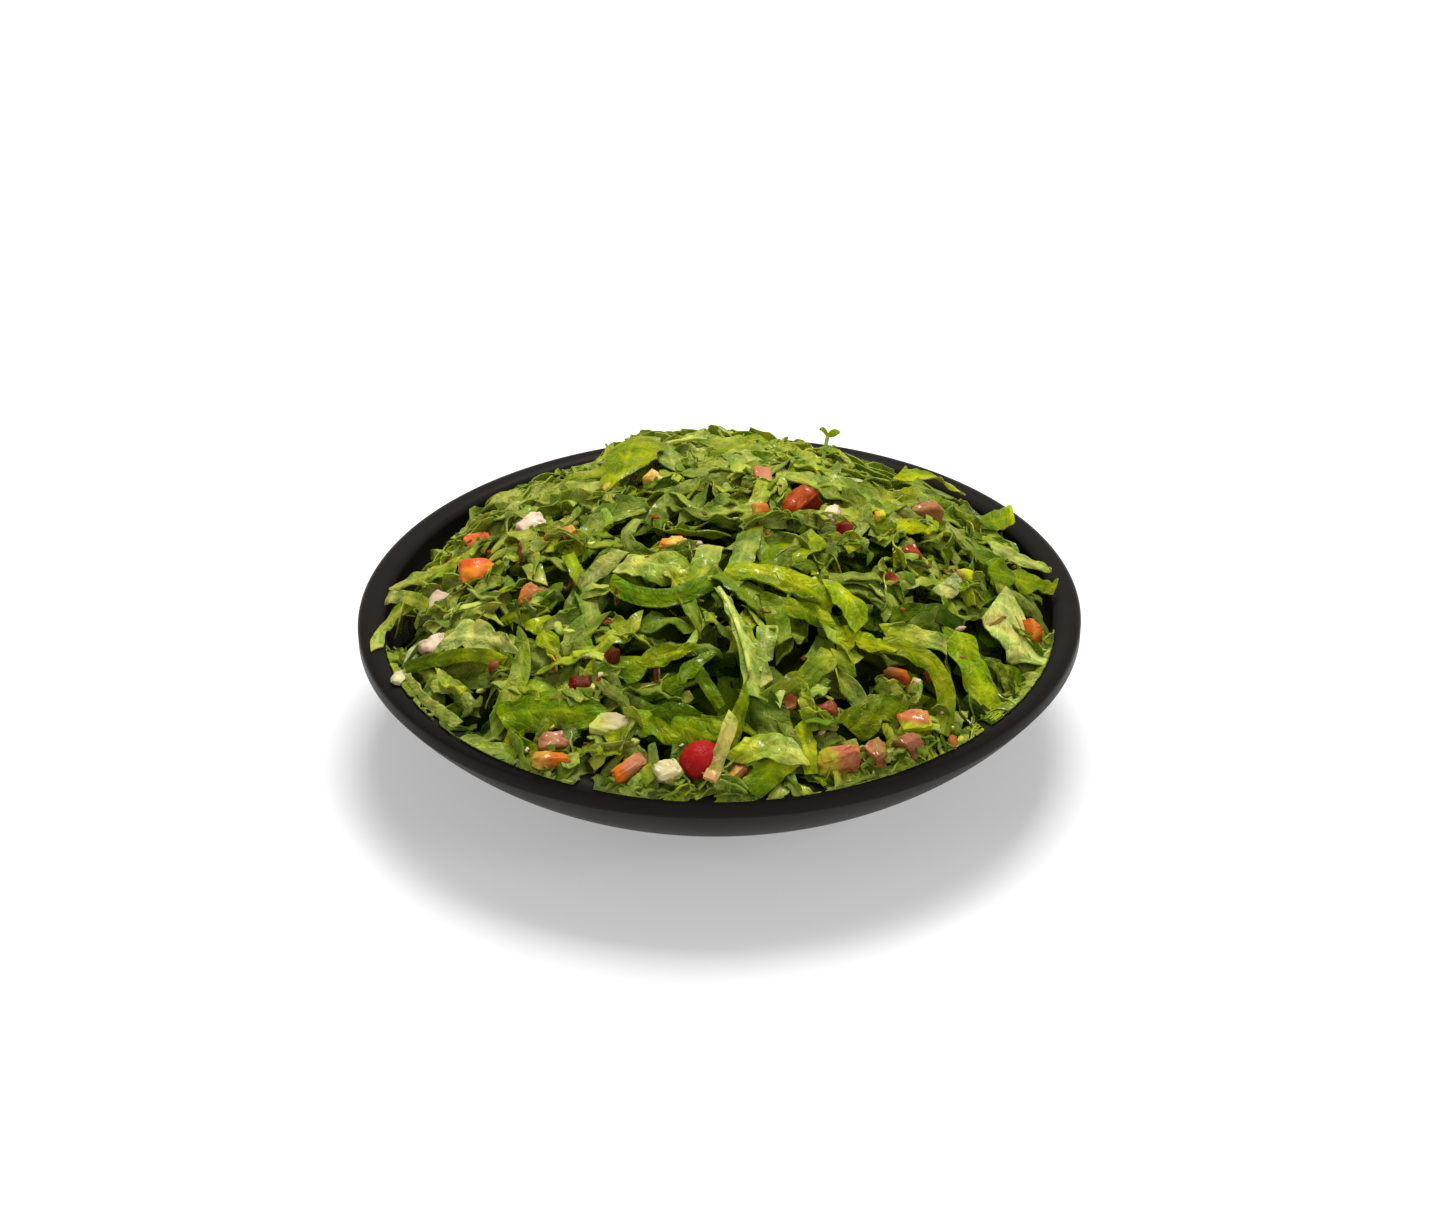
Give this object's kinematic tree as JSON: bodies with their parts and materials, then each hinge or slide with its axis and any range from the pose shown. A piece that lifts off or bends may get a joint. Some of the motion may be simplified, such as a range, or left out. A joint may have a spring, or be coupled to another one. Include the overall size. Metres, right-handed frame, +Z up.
{
  "type": "dish of arugula salad",
  "caption": "Heaped chopped green salad with diced tomato and onion, in a wide shallow black dish with a rounded lip.",
  "frame": {"origin": "middle of the dish's foot, on the surface it stands on", "axes": "+Z up, -Y towards the person at the table, +X to their right"},
  "size_m": [0.24, 0.24, 0.0944],
  "materials": {
    "dish_glaze": "satin black stoneware glaze",
    "salad_leaves": "fresh cut leaves with a thin dressing",
    "tomato_flesh": "wet cut tomato with glossy skin",
    "onion_flesh": "moist translucent onion"
  },
  "bodies": {
    "root": {"dish": "dish_glaze", "onion_back_left": "onion_flesh", "onion_front": "onion_flesh", "onion_front_dice": "onion_flesh", "onion_left": "onion_flesh", "onion_left_lower": "onion_flesh", "onion_top": "onion_flesh", "salad": "salad_leaves", "tomato_back_right": "tomato_flesh", "tomato_cherry": "tomato_flesh", "tomato_deep_red": "tomato_flesh", "tomato_front_brown": "tomato_flesh", "tomato_front_cube": "tomato_flesh", "tomato_front_dice": "tomato_flesh", "tomato_front_slice": "tomato_flesh", "tomato_front_wedge": "tomato_flesh", "tomato_in_leaf": "tomato_flesh", "tomato_left_orange": "tomato_flesh", "tomato_left_orange_slice": "tomato_flesh", "tomato_left_pink": "tomato_flesh", "tomato_left_upper": "tomato_flesh", "tomato_pale_middle": "tomato_flesh", "tomato_pale_top": "tomato_flesh", "tomato_right_edge": "tomato_flesh", "tomato_right_small": "tomato_flesh", "tomato_shaded": "tomato_flesh", "tomato_sliver": "tomato_flesh", "tomato_top_wedge": "tomato_flesh", "tomato_under_onion": "tomato_flesh"}
  },
  "joints": []
}
